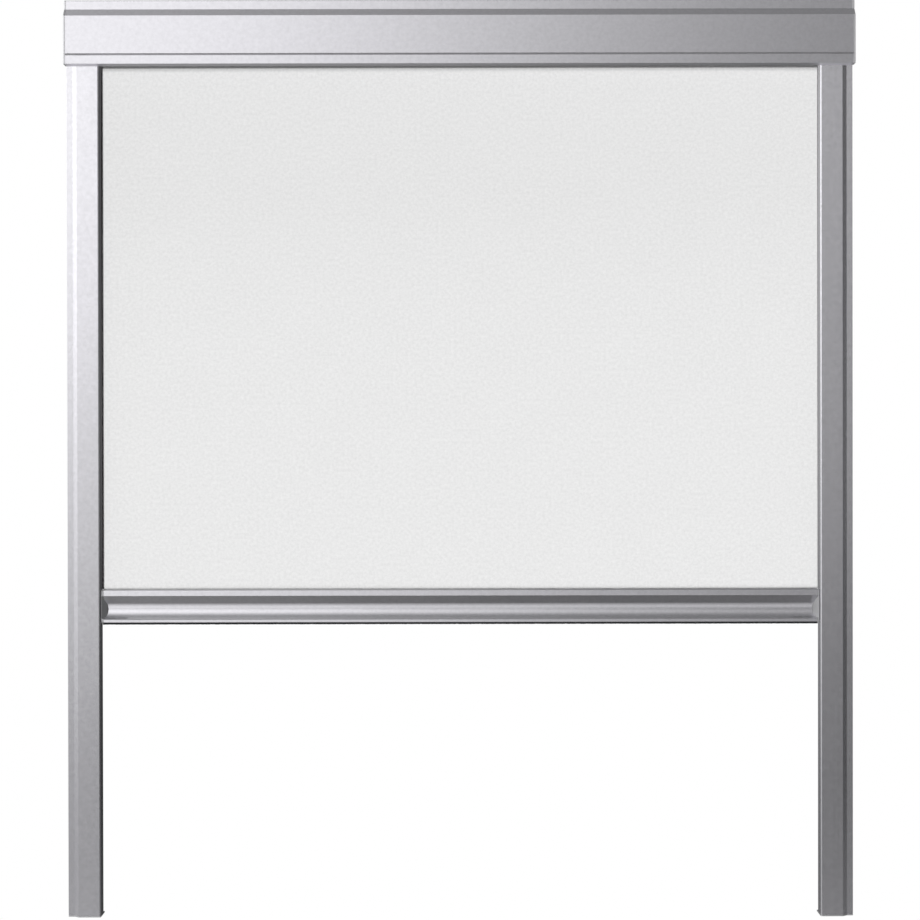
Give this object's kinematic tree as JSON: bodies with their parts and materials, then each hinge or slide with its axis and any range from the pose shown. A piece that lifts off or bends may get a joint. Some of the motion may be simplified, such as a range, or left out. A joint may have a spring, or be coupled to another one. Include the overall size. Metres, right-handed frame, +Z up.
{
  "type": "roof window roller blind",
  "caption": "Blackout roller blind for a roof window: a slim head with a spring roller, side rails with light seals, and a bottom bar that slides and stays where it is put.",
  "frame": {"origin": "middle of the carrier profile's back face, in the head", "axes": "+X to the viewer's right along the bar, +Y out of the back towards the sash, +Z up along the rails"},
  "size_m": [0.61, 0.034, 0.71],
  "materials": {
    "aluminium": "satin anodised",
    "fabric": "plain weave, matt",
    "grey_plastic": "fine matt",
    "black_pile": "dense short pile",
    "steel": "zinc plated",
    "nylon": "natural nylon",
    "bronze": "sintered"
  },
  "bodies": {
    "head": {"carrier_profile": "aluminium", "casing_cover": "aluminium", "casing_end_left": "grey_plastic", "casing_end_right": "grey_plastic", "bracket_left": "grey_plastic", "bracket_right": "grey_plastic", "bracket_screw_upper_left": "steel", "bracket_screw_upper_right": "steel", "bracket_screw_lower_left": "steel", "bracket_screw_lower_right": "steel", "rail_left": "aluminium", "rail_right": "aluminium", "front_pile_left": "black_pile", "front_pile_right": "black_pile", "back_pile_left": "black_pile", "back_pile_right": "black_pile", "rail_foot_left": "grey_plastic", "rail_foot_right": "grey_plastic", "spring_shaft": "steel", "spring_collar": "grey_plastic", "torsion_spring": "steel", "idle_bush": "nylon", "fabric_sheet": "fabric"},
    "roller": {"roller_tube": "aluminium", "roller_plug_left": "grey_plastic", "roller_plug_right": "grey_plastic", "shaft_bush": "bronze", "idle_pin": "steel", "fabric_roll": "fabric"},
    "bottom_bar": {"bar_profile": "aluminium", "bar_end_left": "grey_plastic", "bar_end_right": "grey_plastic", "bar_end_screw_left": "steel", "bar_end_screw_right": "steel", "glide_left": "nylon", "glide_right": "nylon", "glide_screw_left": "steel", "glide_screw_right": "steel", "brake_spring_left": "steel", "brake_spring_right": "steel", "hem_rod": "steel", "bar_seal": "black_pile"}
  },
  "joints": [
    {"name": "bar_slide", "type": "slide", "parent": "head", "child": "bottom_bar", "axis": [0, 0, 1], "range_m": [-0.2225, 0.404], "deforming": ["fabric_sheet"]},
    {"name": "roller_spin", "type": "hinge", "parent": "head", "child": "roller", "pos_m": [0, -0.01846, -0.0034], "axis": [1, 0, 0], "range_deg": [-1115, 2020]}
  ],
  "couplings": [
    {"joint": "roller_spin", "follows": "bar_slide", "rad_per_m": 86.96}
  ]
}
